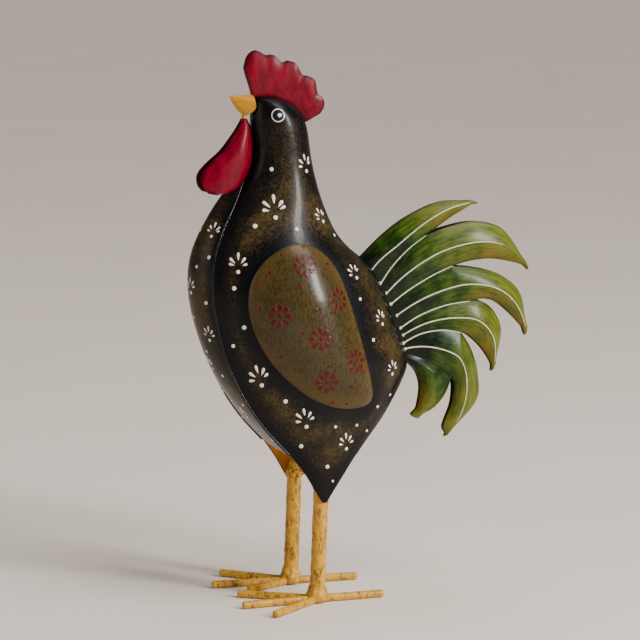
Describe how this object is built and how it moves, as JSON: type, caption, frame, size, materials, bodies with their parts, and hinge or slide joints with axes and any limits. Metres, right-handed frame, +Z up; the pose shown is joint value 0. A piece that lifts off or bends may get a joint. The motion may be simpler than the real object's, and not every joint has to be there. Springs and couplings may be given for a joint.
{
  "type": "sheet-metal rooster figure",
  "caption": "Standing rooster figure of painted, pressed sheet metal, with an open belly, domed wings, a plumed tail, and bar legs with rod toes.",
  "frame": {"origin": "centre of the bounding box, on the ground plane under the toes", "axes": "+Z up, -Y the way the bird faces, +X the bird's left side"},
  "size_m": [0.1263, 0.2252, 0.346],
  "materials": {
    "body_paint": "satin",
    "wing_paint": "satin",
    "comb_paint": "gloss",
    "beak_paint": "satin",
    "tail_paint": "satin",
    "leg_paint": "rough"
  },
  "bodies": {
    "root": {"body_side_left": "body_paint", "body_side_right": "body_paint", "breast_gusset": "body_paint", "rump_gusset": "body_paint", "comb_left": "comb_paint", "comb_right": "comb_paint", "beak": "beak_paint", "wattle_tab": "beak_paint", "wattle_left": "comb_paint", "wattle_right": "comb_paint", "wing_left": "wing_paint", "wing_right": "wing_paint", "tail_left": "tail_paint", "tail_right": "tail_paint", "leg_left": "leg_paint", "thigh_weld_left": "leg_paint", "ankle_weld_left": "leg_paint", "toe_left_inner": "leg_paint", "toe_left_middle": "leg_paint", "toe_left_outer": "leg_paint", "toe_left_back": "leg_paint", "leg_right": "leg_paint", "thigh_weld_right": "leg_paint", "ankle_weld_right": "leg_paint", "toe_right_inner": "leg_paint", "toe_right_middle": "leg_paint", "toe_right_outer": "leg_paint", "toe_right_back": "leg_paint"}
  },
  "joints": []
}
